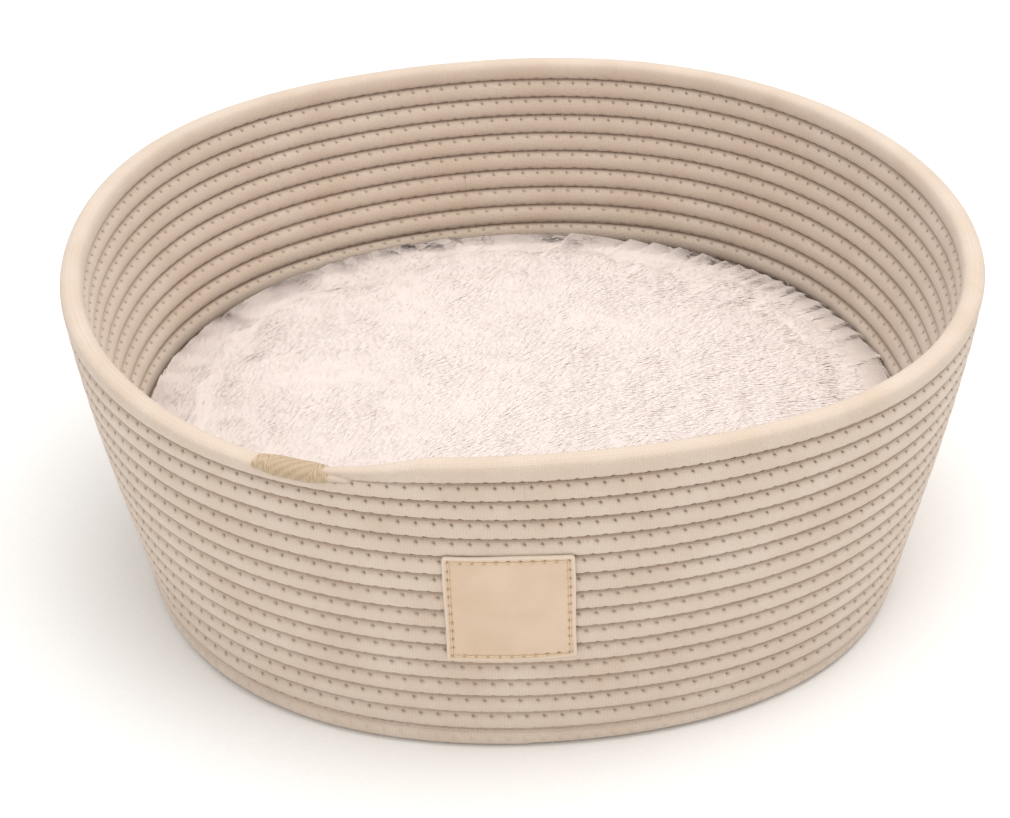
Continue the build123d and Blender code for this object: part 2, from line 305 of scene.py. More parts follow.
def on_profile(course):
    """Radius and height of the rope's middle, and the unit vector up the wall, at each course number."""
    def at(c):
        return np.stack([np.interp(c, profile_courses, profile[:, i]) for i in (0, 1)], -1)

    return at(course), unit(at(np.minimum(course + 0.5, rim_course + 1)) - at(np.maximum(course - 0.5, 0)))


def azimuth_of(course):
    return np.radians(ROPE_END_AZIMUTH + 360 * (course_at_end - course))


# %% [markdown]
# Hand-guided sewing never gives a perfect circle. The rim dips and swells by a few millimetres, more at the top than
# at the base, which stands flat. The same small wander is applied to rope, thread and patch, so they stay together.

# %% Hand-made unevenness
RIM_Z = profile[-2][1]
# Each pair is the cosine and sine share, in mm, of 1, 2, 3 ... waves round the basket
RIM_LIFT = ((-4.9, -2.92), (-0.64, 0.18), (-1.38, 2.75), (0.0, 0.0), (0.4, 0.3))
RIM_SPREAD = ((1.51, -0.57), (1.73, -0.31), (0.73, -1.54), (0.0, 0.0), (0.3, -0.3))
BASE_SPREAD = ((-0.3, -0.56), (-4.4, -0.63), (-1.37, -1.32), (-3.45, -1.67))
# The top courses sink a little near the rope's end: how far, where, over how many degrees and how far down the wall
SAG_MM, SAG_AZIMUTH, SAG_WIDTH, SAG_DEEP = 6.3, -122.0, 22.0, 24.0


def waves(azimuth, shares):
    return sum(c * np.cos(n * azimuth) + s * np.sin(n * azimuth) for n, (c, s) in enumerate(shares, 1))


def wander(azimuth, radius, height):
    """How far out and up, in mm, a point of the ideal basket really lies."""
    grow = np.clip(height / RIM_Z, 0, 1.1)
    near_base = (1 - np.clip(grow, 0, 1)) * np.clip(radius / (BASE_RINGS * PITCH), 0, 1) ** 2
    out = grow * waves(azimuth, RIM_SPREAD) + near_base * waves(azimuth, BASE_SPREAD)
    from_sag = np.angle(np.exp(1j * (azimuth - math.radians(SAG_AZIMUTH)))) / math.radians(SAG_WIDTH)
    sag = SAG_MM * np.exp(-(from_sag**2)) * np.clip((height - RIM_Z + SAG_DEEP) / SAG_DEEP, 0, 1.2)
    return out, grow * waves(azimuth, RIM_LIFT) - sag


def settle(points):
    """Moves points (in mm) with the basket's slow unevenness."""
    x, y, z = points[..., 0], points[..., 1], points[..., 2]
    a = np.arctan2(y, x)
    out, lift = wander(a, np.hypot(x, y), z)
    return np.stack([x + out * np.cos(a), y + out * np.sin(a), z + lift], -1)


def around(course, out, up, azimuth=None):
    """Points beside the rope's middle: so far out of the wall and so far up it, in mm."""
    course = np.asarray(course, float)
    middle, wall_up = on_profile(course)
    a = azimuth_of(course) if azimuth is None else azimuth
    outward = np.stack([wall_up[..., 1], -wall_up[..., 0]], -1)
    rz = middle + outward * out[..., None] + wall_up * up[..., None]
    return settle(np.stack([rz[..., 0] * np.cos(a), rz[..., 0] * np.sin(a), rz[..., 1]], -1))


# Length of rope from the middle out to each course number
table_courses = np.linspace(0.4, course_at_end, 60000)
middle_rz = on_profile(table_courses)[0]
steps = np.hypot(np.diff(middle_rz[:, 0]), np.diff(middle_rz[:, 1]))
turns = np.diff(table_courses) * 2 * math.pi * (middle_rz[:-1, 0] + middle_rz[1:, 0]) / 2
table_length = np.concatenate([[0], np.cumsum(np.hypot(steps, turns))])
print("rope length in m:", round(table_length[-1] / 1000, 2))


def length_at(course):
    return np.interp(course, table_courses, table_length)


def course_at(length):
    return np.interp(length, table_length, table_courses)


# %% [markdown]
# ## The rope
# Each ring of the rope is a rounded square rather than a circle, because neighbouring courses press each other flat.
# It is rounder inside the basket, where the leaning wall lets the courses bulge. Its two hidden sides carry a mark
# called seam, which paints shade into the narrow valley between courses, except where nothing lies against them.
# The needle went in a little way from every seam, first on one side and then on the other, and pulled the cover in.
# Those pits are real dips in the mesh, one stitch apart. The rope is made in lengths of a few turns, so that no single
# mesh is too heavy to handle.

# %% Rope cross-section and needle pits
STITCH_MM = 8.0  # one whole zig-zag
NEEDLE_BELOW, NEEDLE_ABOVE = 1.6, 1.1  # from the seam to where the needle goes in, on each rope
PIT_DEPTH, PIT_R = 0.8, 0.66
SQUARE_OUTSIDE, SQUARE_INSIDE = 3.0, 2.6  # 2 is an ellipse, more is squarer
HALF_OUT, HALF_UP = ROPE_D / 2, PITCH / 2
END_TAPER = 80.0  # the last of the rope thins over this length
END_SHARE = 0.3  # to this share of its thickness
END_DROP, END_OUT = 9.0, 2.0  # and the thin end sinks and moves outwards, onto the course below
TIP_SHOWS = 90.0  # the rope's sides are bare over this length of its end
SEAM_SHADE_OUTSIDE, SEAM_SHADE_INSIDE = 0.6, 0.15


def section_angles(sides):
    """Angles from straight out, closer together near the needle pits than where neighbouring ropes touch."""
    quarter = np.array([0.0, 15.0, 28.0, 37.0, 47.0, 66.0] if sides == 22 else [0.0, 22.0, 45.0, 68.0])
    half = np.concatenate([-quarter[:0:-1], quarter])
    return np.radians(np.concatenate([half, half + 180.0]))


def rope_radius(angle, half_up):
    power = np.where(np.cos(angle) > 0, SQUARE_OUTSIDE, SQUARE_INSIDE)
    return (np.abs(np.cos(angle) / HALF_OUT) ** power + np.abs(np.sin(angle) / half_up) ** power) ** (-1 / power)


def needle_spot(reach, face):
    """Where a rope's face lies that far from the seam: the angle from straight out (or in), and how far out."""
    angle = np.radians(np.linspace(5, 85, 400))
    radius = rope_radius(angle if face > 0 else math.pi - angle, HALF_UP)
    up, out = radius * np.sin(angle), radius * np.cos(angle)
    return np.interp(HALF_UP - reach, up, angle), np.interp(HALF_UP - reach, up, out)


needle_below = {face: needle_spot(NEEDLE_BELOW, face) for face in (1, -1)}
needle_above = {face: needle_spot(NEEDLE_ABOVE, face) for face in (1, -1)}


def thickness_at(to_end):
    """The rope's share of its full thickness, by how far it is from its end."""
    return END_SHARE + (1 - END_SHARE) * np.clip(to_end / END_TAPER, 0, 1) ** 1.6


def pits(course, angle, length):
    """How deep each point lies in a needle pit, from 0 to 1."""
    deep = np.zeros(np.broadcast(course, angle).shape)
    seams = ((course, needle_below, 1, 0.0, 1.0), (course - 1.0, needle_above, -1, 0.5, 0.75))
    for seam_course, spots, side, phase, strength in seams:
        along = length_at(seam_course) / STITCH_MM + phase
        slip = (along - np.round(along)) * STITCH_MM
        real = (seam_course > 0.6) & (seam_course < course_at_end - 1.0)
        for face in (1, -1):
            pit_angle = side * spots[face][0] if face > 0 else math.pi - side * spots[face][0]
            gap = np.angle(np.exp(1j * (angle - pit_angle))) * HALF_OUT
            deep = np.maximum(deep, strength * real * np.exp(-(slip**2 + gap**2) / PIT_R**2))
    return deep


def rope_piece(name, first, last, spacing, sides):
    """A length of rope between two course numbers."""
    lengths = np.arange(length_at(first), length_at(last), spacing)
    lengths = np.append(lengths, length_at(last))
    course = course_at(lengths)[:, None]
    angle = section_angles(sides)[None, :]
    to_end = table_length[-1] - lengths[:, None]
    thin = thickness_at(to_end)
    top_turn = np.clip((course - (course_at_end - 1.0)) * 20, 0, 1)
    half_up = HALF_UP + (HALF_OUT - HALF_UP) * top_turn * (np.sin(angle) > 0)
    deep = pits(course, angle, lengths[:, None])
    swell = 1 + 0.012 * np.sin(lengths / 31.0) * np.sin(lengths / 13.7)
    radius = rope_radius(angle, half_up) * thin * swell[:, None] - PIT_DEPTH * deep
    out = radius * np.cos(angle) + END_OUT * (1 - thin)
    up = radius * np.sin(angle) - END_DROP * (1 - thin)
    on_floor = course < BASE_RINGS
    out = np.where(on_floor, np.minimum(out, HALF_OUT - FLOOR_FLAT), out)
    points = around(np.broadcast_to(course, out.shape), out, up)
    points[..., 2] = np.maximum(points[..., 2], 0)
    # Painted shade on the hidden sides, for the valley between courses, none where nothing lies against them.
    painted_seam_shade = np.clip((np.abs(np.sin(angle)) - 0.82) / 0.12, 0, 1) * (1 - top_turn * (np.sin(angle) > 0))
    painted_seam_shade = painted_seam_shade * np.clip(np.abs(course - BASE_RINGS) - 1, 0, 0.25) * 4 * np.clip(to_end / TIP_SHOWS - 1, 0, 1)
    beside_tip = np.abs(course - (course_at_end - 1.0)) < 0.075
    painted_seam_shade = np.where(beside_tip & (np.sin(angle) > 0), 0, painted_seam_shade)
    painted_seam_shade = painted_seam_shade * np.where(np.cos(angle) > 0, SEAM_SHADE_OUTSIDE, SEAM_SHADE_INSIDE)
    quads, caps = tube_faces(len(lengths), angle.size)
    marks = {"needle": deep, "seam": painted_seam_shade}
    return mesh_piece(name, points, [quads, caps], rope_cotton, tube_uv(lengths, angle.size), marks)


# %% [markdown]
# The rope now goes down in one base, five lengths of wall and a rim, each a few turns long. The joins between lengths
# are cut square, and the next length starts with the same ring of points, so they can't be seen.

# %% Lay the rope
base_rope = rope_piece("base_rope", 0.42, BASE_RINGS + 0.2, STITCH_MM / 5, 14)
belongs(base_rope, "basket", "rope", "base_coil")
wall_ends = np.linspace(BASE_RINGS + 0.2, rim_course - 1.0, 6)
bands = {1: "wall_coil_lower", 3: "wall_coil_middle", 5: "wall_coil_upper"}
for number, (first, last) in enumerate(zip(wall_ends, wall_ends[1:]), 1):
    wall_rope = rope_piece(f"wall_rope_{number}", first, last, STITCH_MM / 8, 22)
    belongs(wall_rope, "basket", "rope", *([bands[number]] if number in bands else []))
rim_rope = rope_piece("rim_rope", rim_course - 1.0, course_at_end, STITCH_MM / 8, 22)
belongs(rim_rope, "basket", "rope", "rim_turn")

# %% [markdown]
# ## The zig-zag
# The machine's thread runs from pit to pit, across the seam and back, on both faces of the wall. It is drawn as one
# thin tube for each face. A tight thread bites into a soft rope, so between its pits it sinks into the seam. Under the
# base it stays above the floor, because the rope there is pressed flat.

# %% Zig-zag thread
THREAD_R = 0.27
BITE, SINK = 0.45, 2.0  # how deep the thread lies at a pit, and how much deeper at the seam
BARE_END = 75.0  # nothing is sewn under this length of the rope's end


def zigzag_piece(name, first, last, face):
    """Zig-zag thread over the seams whose lower rope lies between two course numbers. face is 1 outside, -1 inside."""
    halves = np.arange(math.ceil(2 * length_at(first) / STITCH_MM), math.floor(2 * length_at(last) / STITCH_MM))
    count = (halves[:, None] + np.array([0.0, 0.33, 0.67])[None, :]).ravel()
    lower = course_at(count * STITCH_MM / 2)
    on_upper = 1 - np.abs(((count + 1) % 2) - 1)  # 0 on the lower rope, 1 on the upper one
    nothing = np.zeros_like(lower)
    sink = SINK * np.sin(math.pi * on_upper) ** 2 + BITE
    most = np.where(lower < BASE_RINGS, HALF_OUT - FLOOR_FLAT - THREAD_R - 0.1, 9.0) if face > 0 else 9.0
    low_up, high_up = HALF_UP - NEEDLE_BELOW, HALF_UP - NEEDLE_ABOVE
    low_out, high_out = needle_below[face][1] - sink, needle_above[face][1] - sink
    low = around(lower, face * np.minimum(low_out, most), nothing + low_up)
    high = around(lower + 1.0, face * np.minimum(high_out, most), nothing - high_up, azimuth_of(lower))
    line = low * (1 - on_upper[:, None]) + high * on_upper[:, None]
    line[:, 2] = np.maximum(line[:, 2], THREAD_R + 0.1)
    outward = unit(around(lower, nothing + 9.0 * face, nothing) - around(lower, nothing, nothing))
    return thread_piece(name, line, outward, THREAD_R, 4, sewing_cotton)


LAST_SEAM = course_at_end - 1.0 - BARE_END / (2 * math.pi * profile[-2][0])
for name, first, last, face, node in (
    ("wall_zigzag_outside", BASE_RINGS, LAST_SEAM, 1, "wall_stitching"),
    ("wall_zigzag_inside", BASE_RINGS, LAST_SEAM, -1, "wall_stitching"),
    ("base_zigzag_under", 0.7, BASE_RINGS, 1, "base_stitching"),
    ("base_zigzag_inside", 0.7, BASE_RINGS, -1, "base_stitching"),
):
    belongs(zigzag_piece(name, first, last, face), "basket", "rope_thread", node)

# %% [markdown]
# ## Whipping on the rope's end
# The cut end of the rope would fray, so it is bound with silky tan thread, wound close and tight in satin stitches.
# The winding follows the thinning rope, turn beside turn, down to its tip.

# %% Whipping
WHIP_LENGTH = 38.0
WHIP_THREAD_R = 0.42
WHIP_OUT, WHIP_UP = 1.5, -5.9  # its middle, from the middle of the rim's rope
WHIP_HALF_OUT, WHIP_HALF_UP = 5.7, 4.6
whip_turns = WHIP_LENGTH / (1.8 * WHIP_THREAD_R)
whip_count = int(whip_turns * 20)
whip_share = np.linspace(0, 1, whip_count)
whip_course = course_at(table_length[-1] + 1.0 - WHIP_LENGTH * whip_share)
whip_angle = 2 * math.pi * whip_turns * whip_share
whip_swell = np.clip(0.42 + 0.15 * whip_share + 0.62 * np.sin(math.pi * whip_share) ** 0.8, 0, 1)
whip_swell *= 1 + 0.02 * np.sin(whip_angle * 0.37)
whip_line = around(
    whip_course,
    WHIP_OUT + WHIP_HALF_OUT * (0.5 + 0.5 * whip_swell) * np.cos(whip_angle),
    WHIP_UP + WHIP_HALF_UP * whip_swell * np.sin(whip_angle),
)
whip_middle = around(whip_course, np.full(whip_count, WHIP_OUT), np.full(whip_count, WHIP_UP))
whip_outward = unit(whip_line - whip_middle)
whipping = thread_piece("rope_end_whipping", whip_line, whip_outward, WHIP_THREAD_R, 6, whipping_silk)
belongs(whipping, "basket", "whipping", "rim_whipping")
print("whipping turns:", round(whip_turns))

# %% [markdown]
# Under the silk is the squashed tip of the rope itself. It shows at both ends of the whipping as a pale wedge, so it is
# a piece of its own, a tapered plug with the rope's cotton.

# %% Rope tip
tip_share = np.linspace(-0.12, 1.3, 60)
tip_course = course_at(table_length[-1] + 1.0 - WHIP_LENGTH * tip_share)
tip_swell = np.clip(0.47 + 0.15 * tip_share + 0.5 * np.sin(math.pi * np.clip(tip_share, 0, 1)) ** 0.8, 0, 0.97)
tip_swell *= np.sqrt(np.clip(1 - ((tip_share - 0.59) / 0.72) ** 6, 0.001, 1))
tip_angle = np.arange(20) * 2 * math.pi / 20
tip_half_out = (WHIP_HALF_OUT - 0.5) * (0.5 + 0.5 * tip_swell[:, None]) * (tip_swell[:, None] > 0.1)
tip_out = WHIP_OUT + tip_half_out * np.cos(tip_angle)
tip_up = WHIP_UP + (WHIP_HALF_UP - 0.4) * tip_swell[:, None] * np.sin(tip_angle)
tip_points = around(np.broadcast_to(tip_course[:, None], tip_out.shape), tip_out, tip_up)
tip_uv = tube_uv(WHIP_LENGTH * tip_share, 20)
rope_tip = mesh_piece("rope_tip", tip_points, list(tube_faces(60, 20)), rope_cotton, tip_uv)
belongs(rope_tip, "basket", "rope")

# %% [markdown]
# ## Leather patch
# The patch is vegetable-tanned leather, cut from a sheet, left its natural pale tan and sewn on round its edge. Leather
# this thin follows the wall but bridges the valleys between the ropes. Its mesh is a fine grid, so that the stitch
# holes, the shallow line that the thread presses in and the slightly uneven cut edge are real shapes. It is left
# plain, with no lettering. The grain is a fine cell pattern in the bump, about a millimetre across, which is a little
# coarser than real calf grain so that it shows.


# %% Leather
def leather_material():
    material, tree, shader = new_material("vegetable_tanned_leather", roughness=0.58, ior=1.5)
    place = add_node(tree, "ShaderNodeTexCoord", out="Object")
    grain = add_node(tree, "ShaderNodeTexVoronoi", {"Vector": place, "Scale": 1100.0}, feature="DISTANCE_TO_EDGE")
    pores = add_node(tree, NOISE, {"Vector": place, "Scale": 300.0, "Detail": 5.0})
    crease = add_node(tree, MATH, {0: grain, 1: 0.25}, operation="MINIMUM")
    height = add_node(tree, MATH, {0: pores, 1: 0.4, 2: crease}, operation="MULTIPLY_ADD")
    bump = add_node(tree, "ShaderNodeBump", {"Strength": 0.25, "Distance": 0.0002, "Height": height})
    tree.links.new(bump, shader.inputs["Normal"])
    cloud = add_node(tree, NOISE, {"Vector": place, "Scale": 45.0, "Detail": 4.0})
    tone = add_node(tree, RANGE, {0: cloud, 1: 0.3, 2: 0.7})
    hide = add_node(tree, MIX, {0: tone, 6: srgb("#CEB499"), 7: srgb("#D6BFA7")}, out=2, data_type="RGBA")
    rim = add_node(tree, "ShaderNodeAttribute", out="Fac", attribute_name="edge")
    pale_edge = add_node(tree, MIX, {0: rim, 6: hide, 7: srgb("#DBCBBB")}, out=2, data_type="RGBA")
    # Painted shade in the stitch holes: the dents take a dark brown.
    hole = add_node(tree, "ShaderNodeAttribute", out="Fac", attribute_name="hole")
    final = add_node(tree, MIX, {0: hole, 6: pale_edge, 7: srgb("#8A6B4C")}, out=2, data_type="RGBA")
    tree.links.new(final, shader.inputs["Base Color"])
    rough = add_node(tree, RANGE, {0: pores, 1: 0.3, 2: 0.7, 3: 0.5, 4: 0.68})
    tree.links.new(rough, shader.inputs["Roughness"])
    return material


tanned_leather = leather_material()

# %% [markdown]
# A solid with thickness would do for the patch, but a grid of points shows more: each point knows how far it is from
# the cut edge and from the nearest stitch hole, and is pressed in by that much. The width is measured along the
# leather, so the patch stays as wide at its foot as at its head although the wall flares.

# %% Patch shape
PATCH_W, PATCH_LOW, PATCH_HIGH, PATCH_AZIMUTH = 60.0, BASE_RINGS + 5.0, BASE_RINGS + 10.8, -92.2
PATCH_T, PATCH_CORNER = 1.6, 1.8
STITCH_INSET = 2.8
patch_h = (PATCH_HIGH - PATCH_LOW) * PITCH


def on_patch(across, up, above):
    """Points on the patch, in mm right of and above its middle, and above its face."""
    course = (PATCH_LOW + PATCH_HIGH) / 2 + up / PITCH
    ripple = 0.12 * np.cos(2 * math.pi * course)
    middle, wall_up = on_profile(course)
    outward = np.stack([wall_up[..., 1], -wall_up[..., 0]], -1)
    rz = middle + outward * (HALF_OUT + PATCH_T + ripple + above)[..., None]
    a = math.radians(PATCH_AZIMUTH) + across / rz[..., 0]
    return settle(np.stack([rz[..., 0] * np.cos(a), rz[..., 0] * np.sin(a), rz[..., 1]], -1))


def stitch_holes():
    """Where the needle goes in: 11 along the top and bottom and 12 up each side."""
    half_w, half_h = PATCH_W / 2 - STITCH_INSET, patch_h / 2 - STITCH_INSET
    run_x, run_y = np.linspace(-half_w, half_w, 11), np.linspace(-half_h, half_h, 12)
    top = np.stack([run_x, np.full(11, half_h)], -1)
    right = np.stack([np.full(12, half_w), run_y[::-1]], -1)
    return np.concatenate([top[:-1], right[:-1], -top[:-1], -right[:-1]])


holes = stitch_holes()
GRID = 121
share = np.linspace(-1, 1, GRID)
gx, gy = np.meshgrid(share * PATCH_W / 2, share * patch_h / 2)
to_x, to_y = PATCH_W / 2 - np.abs(gx), patch_h / 2 - np.abs(gy)
corner_x, corner_y = np.clip(PATCH_CORNER - to_x, 0, None), np.clip(PATCH_CORNER - to_y, 0, None)
corner = np.hypot(corner_x, corner_y)
pull = np.where((corner_x > 0) & (corner_y > 0), PATCH_CORNER / np.maximum(corner, PATCH_CORNER), 1.0)
gx = np.sign(gx) * (PATCH_W / 2 - PATCH_CORNER + corner_x * pull) * (corner_x > 0) + gx * (corner_x == 0)
gy = np.sign(gy) * (patch_h / 2 - PATCH_CORNER + corner_y * pull) * (corner_y > 0) + gy * (corner_y == 0)
up_share = gy / (patch_h / 2)
cut = gy + 0.35 * np.sin(gx / 9.0 + 1.0) * up_share - 0.8 * (gy < 0) * up_share * (gx / 30)
cut_x = gx + 0.3 * np.sin(gy / 11.0) * (gx / (PATCH_W / 2))
to_edge = np.minimum(PATCH_W / 2 - np.abs(gx), patch_h / 2 - np.abs(gy))
hole_gap = np.min(np.hypot(gx[..., None] - holes[:, 0], gy[..., None] - holes[:, 1]), -1)
dent = np.exp(-((hole_gap / 0.72) ** 2))
line = np.exp(-(((to_edge - STITCH_INSET) / 0.8) ** 2))
worn = np.clip(1 - to_edge / 1.0, 0, 1) ** 2
face = -0.9 * dent - 0.22 * line - 0.45 * worn
under = np.full_like(face, -PATCH_T + 0.15)
grid_points = np.concatenate([on_patch(cut_x, cut, level).reshape(-1, 3) for level in (face, under)])
index = np.arange(GRID * GRID).reshape(GRID, GRID)
quads = np.stack([index[:-1, :-1], index[:-1, 1:], index[1:, 1:], index[1:, :-1]], -1).reshape(-1, 4)
loop = np.concatenate([index[0, :-1], index[:-1, -1], index[-1, :0:-1], index[:0:-1, 0]])
after = np.roll(loop, -1)
lower = GRID * GRID
walls = np.stack([loop, loop + lower, after + lower, after], -1)
# The hole mark is painted shade for the stitch holes; the edge mark gives the paler cut edge and underside.
patch_marks = {
    "hole": np.concatenate([dent.ravel(), np.zeros(lower)]),
    "edge": np.concatenate([np.clip(1.1 - to_edge / 1.5, 0, 0.8).ravel(), np.ones(lower)]),
}
patch_faces = [quads, quads[:, ::-1] + lower, walls]
patch = mesh_piece("leather_patch_face", grid_points, patch_faces, tanned_leather, marks=patch_marks)
belongs(patch, "basket", "patch_leather", "leather_patch")
print("patch in mm:", PATCH_W, "by", round(patch_h, 1))

# %% [markdown]
# The patch's thread is one lockstitch line that runs right round: it rises over the leather between two holes and dives
# at each hole, where the knot lies below the face.

# %% Patch stitching
closed = np.concatenate([holes, holes[:1]])
bits = np.linspace(0, 1, 7)[:-1]
runs = closed[:-1, None] + (closed[1:] - closed[:-1])[:, None] * bits[None, :, None]
runs = np.concatenate([runs.reshape(-1, 2), holes[:1]])
rise = np.append(np.tile(-0.75 + 0.85 * np.sin(math.pi * bits) ** 0.45, len(holes)), -0.75)
seam_line = on_patch(runs[:, 0], runs[:, 1], rise)
seam_out = unit(on_patch(runs[:, 0], runs[:, 1], rise + 5) - seam_line)
patch_seam = thread_piece("patch_lockstitch", seam_line, seam_out, 0.36, 6, waxed_linen)
belongs(patch_seam, "basket", "patch_thread", "patch_stitching")
print("patch stitches:", len(holes))

# %% [markdown]
# ## Cushion pad
# The cushion is a stuffed cover. Its shape comes from pressure inside and the pull of the cloth, so the form starts a
# little too small and Blender's cloth swells it for 20 frames. How far a point may move is capped. The result is cut
# off at the seam, because the underside is another cloth. After the swelling, the plush backing is kept clear of the
# basket's wall, and outside the pad's liner from 12 mm below its widest line upwards. Lower down it isn't, and there the
# liner comes through the backing by 2 to 11 mm. That is out of sight until the cushion is lifted.

# %% Pad form
cushion_low, cushion_high = (1000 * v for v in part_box("cushion_plush_cover"))
liner_high = 1000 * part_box("pad_liner")[1]
pad_low = 1000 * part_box("cushion_underside")[0].z
cushion_r = cushion_high.x
liner_r = liner_high.x
seam_z = cushion_low.z
print("cushion radius", round(cushion_r, 1), "seam at", round(seam_z, 1), "top", round(cushion_high.z, 1))


def wall_inside(azimuth, height):
    """Radius of the wall's inner face at a height."""
    r = np.interp(height, profile[1:, 1], profile[1:, 0])
    out, lift = wander(azimuth, r, height)
    return np.interp(height - lift, profile[1:, 1], profile[1:, 0]) + out - HALF_OUT


BELLY_Z = pad_low + 44.0  # the cushion is widest here
CROWN_Z = cushion_high.z - 1.0
SHOULDER_REACH, HEEL_REACH = 45.0, 37.0  # how far in from the side its top and its underside round over


def pad_form(shrink):
    """Rings of the pad from the middle of its underside to the middle of its top."""
    turns = np.linspace(0, 2 * math.pi, 97)[:-1]
    steps = np.linspace(0, 1, 15)
    half = np.radians(np.linspace(-90, 90, 27))
    radius, height = [], []
    for angle in half:
        reach = SHOULDER_REACH if angle > 0 else HEEL_REACH
        rise = (CROWN_Z - 6.0 - BELLY_Z) if angle > 0 else (BELLY_Z - pad_low)
        radius.append(cushion_r - shrink - reach * (1 - math.cos(angle)))
        height.append(BELLY_Z + rise * math.sin(angle))
    inner_low = [(radius[0] * k, pad_low + 1) for k in steps[1:-1]]
    inner_high = [(radius[-1] * k, height[-1] + 6.0 * (1 - k**2)) for k in steps[-2:0:-1]]
    rings = inner_low + list(zip(radius, height)) + inner_high
    points = [[0, 0, pad_low + 1]]
    for r, z in rings:
        points += [[r * math.cos(a), r * math.sin(a), z] for a in turns]
    points.append([0, 0, CROWN_Z])
    n = len(turns)
    k = np.arange(n)
    faces = [np.stack([np.zeros(n, int), 1 + (k + 1) % n, 1 + k], -1)]
    for ring in range(len(rings) - 1):
        a, b = 1 + ring * n, 1 + (ring + 1) * n
        faces.append(np.stack([a + k, a + (k + 1) % n, b + (k + 1) % n, b + k], -1))
    a = 1 + (len(rings) - 1) * n
    faces.append(np.stack([a + k, a + (k + 1) % n, np.full(n, len(points) - 1)], -1))
    return points, faces


# %% [markdown]
# Plush is a knitted backing with cut polyester pile standing in it. Both are soft and matte, with a sheen at grazing
# angles from the fibre ends. The backing hardly shows between the tufts, so noise does for it. The pile takes its shade
# from a mark on the mesh, one value for each tuft, because tufts that catch the light differently are what makes plush
# look deep. The same mark paints shade at each tuft's root and a little light at its tip.

# %% Plush backing material
def plush_material(name, light, dark, bump_mm, with_tone):
    """Cut polyester pile: matte, soft at grazing angles, and each tuft slightly different."""
    material, tree, shader = new_material(name, roughness=0.9, sheen=0.35)
    shader.inputs["Sheen Roughness"].default_value = 0.5
    place = add_node(tree, "ShaderNodeTexCoord", out="Object")
    pile = add_node(tree, NOISE, {"Vector": place, "Scale": 700.0, "Detail": 4.0})
    if with_tone:
        tone = add_node(tree, "ShaderNodeAttribute", out="Fac", attribute_name="tone")
    else:
        tone = add_node(tree, RANGE, {0: pile, 1: 0.3, 2: 0.7})
    colour = add_node(tree, MIX, {0: tone, 6: srgb(dark), 7: srgb(light)}, out=2, data_type="RGBA")
    tree.links.new(colour, shader.inputs["Base Color"])
    bump = add_node(tree, "ShaderNodeBump", {"Strength": 0.4, "Distance": bump_mm * MM, "Height": pile})
    tree.links.new(bump, shader.inputs["Normal"])
    return material


plush_backing = plush_material("polyester_plush_backing", "#E9DED7", "#E2D3CB", 0.8, False)
plush_pile = plush_material("polyester_plush_pile", "#E9DED9", "#E2D3CB", 0.1, True)

# %% [markdown]
# The form is remeshed first, with even faces of 6 mm, because cloth swells evenly only on an even mesh. Pins aren't
# needed, because a closed form under its own pressure stays where it is when gravity is off.

# %% Swell the pad
REMESH_MM, MOST_MOVED_MM, CLOTH_FRAMES = 6.0, 6.0, 20
scene = bpy.context.scene
form_points, form_faces = pad_form(shrink=3.5)
cover = mesh_piece("cushion_cover", form_points, form_faces, plush_backing)
bpy.context.view_layer.objects.active = cover
for other in bpy.context.selected_objects:
    other.select_set(False)
cover.select_set(True)
remesh = cover.modifiers.new("even_faces", "REMESH")
remesh.mode = "VOXEL"
remesh.voxel_size = REMESH_MM * MM
bpy.ops.object.modifier_apply(modifier="even_faces")
start = np.array([v.co for v in cover.data.vertices])
cloth = cover.modifiers.new("cloth", "CLOTH")
cloth.settings.use_pressure = True
cloth.settings.uniform_pressure_force = 4.0
cloth.settings.quality = 5
cloth.settings.tension_stiffness = 12.0
cloth.settings.effector_weights.gravity = 0.0
for frame_number in range(1, CLOTH_FRAMES + 1):
    scene.frame_set(frame_number)
shown = cover.evaluated_get(bpy.context.evaluated_depsgraph_get())
swollen = np.array([v.co for v in shown.data.vertices])
cover.modifiers.remove(cloth)
scene.frame_set(1)
moved = swollen - start
far = np.linalg.norm(moved, axis=1, keepdims=True)
capped = start + moved * np.minimum(1, MOST_MOVED_MM * MM / np.maximum(far, 1e-9))
cover.data.vertices.foreach_set("co", capped.ravel())
print("cloth moved the cover by up to", round(1000 * float(far.max()), 1), "mm")

# %% [markdown]
# Limits come next. A pad that has been slept on isn't a perfect dome, so a slow unevenness is pressed into its top. The
# part below the seam is cut away.

# %% Settle the cover in the basket
COVER_GAP = 2.4  # between the plush backing and the basket's wall
place = 1000 * np.array([v.co for v in cover.data.vertices])
a, r, z = np.arctan2(place[:, 1], place[:, 0]), np.hypot(place[:, 0], place[:, 1]), place[:, 2]
soft_noise = np.array([noise.noise(Vector((x / 62, y / 62, 3.0))) for x, y in place[:, :2]])
fine_noise = np.array([noise.noise(Vector((x / 24, y / 24, 8.0))) for x, y in place[:, :2]])
on_top = np.clip((z - BELLY_Z) / (CROWN_Z - BELLY_Z), 0, 1)
z = z + on_top * (1.6 * soft_noise + 0.5 * fine_noise)
side_r = np.clip(wall_inside(a, z) - COVER_GAP, None, cushion_r + 2)
r = r * (1 + (side_r / cushion_r - 1) * np.clip(r / cushion_r, 0, 1) ** 6)
liner_shoulder = np.clip((r - (liner_r - SHOULDER_REACH)) / SHOULDER_REACH, 0, 1)
liner_top = BELLY_Z + (liner_high.z - BELLY_Z) * np.sqrt(1 - liner_shoulder**2)
z = np.where((z > BELLY_Z) & (r < liner_r), np.maximum(z, liner_top + 0.8), z)
r = np.where((np.abs(z - BELLY_Z) < 12) & (r > liner_r * 0.9), np.maximum(r, liner_r + 0.6), r)
place = np.stack([r * np.cos(a), r * np.sin(a), z], -1)
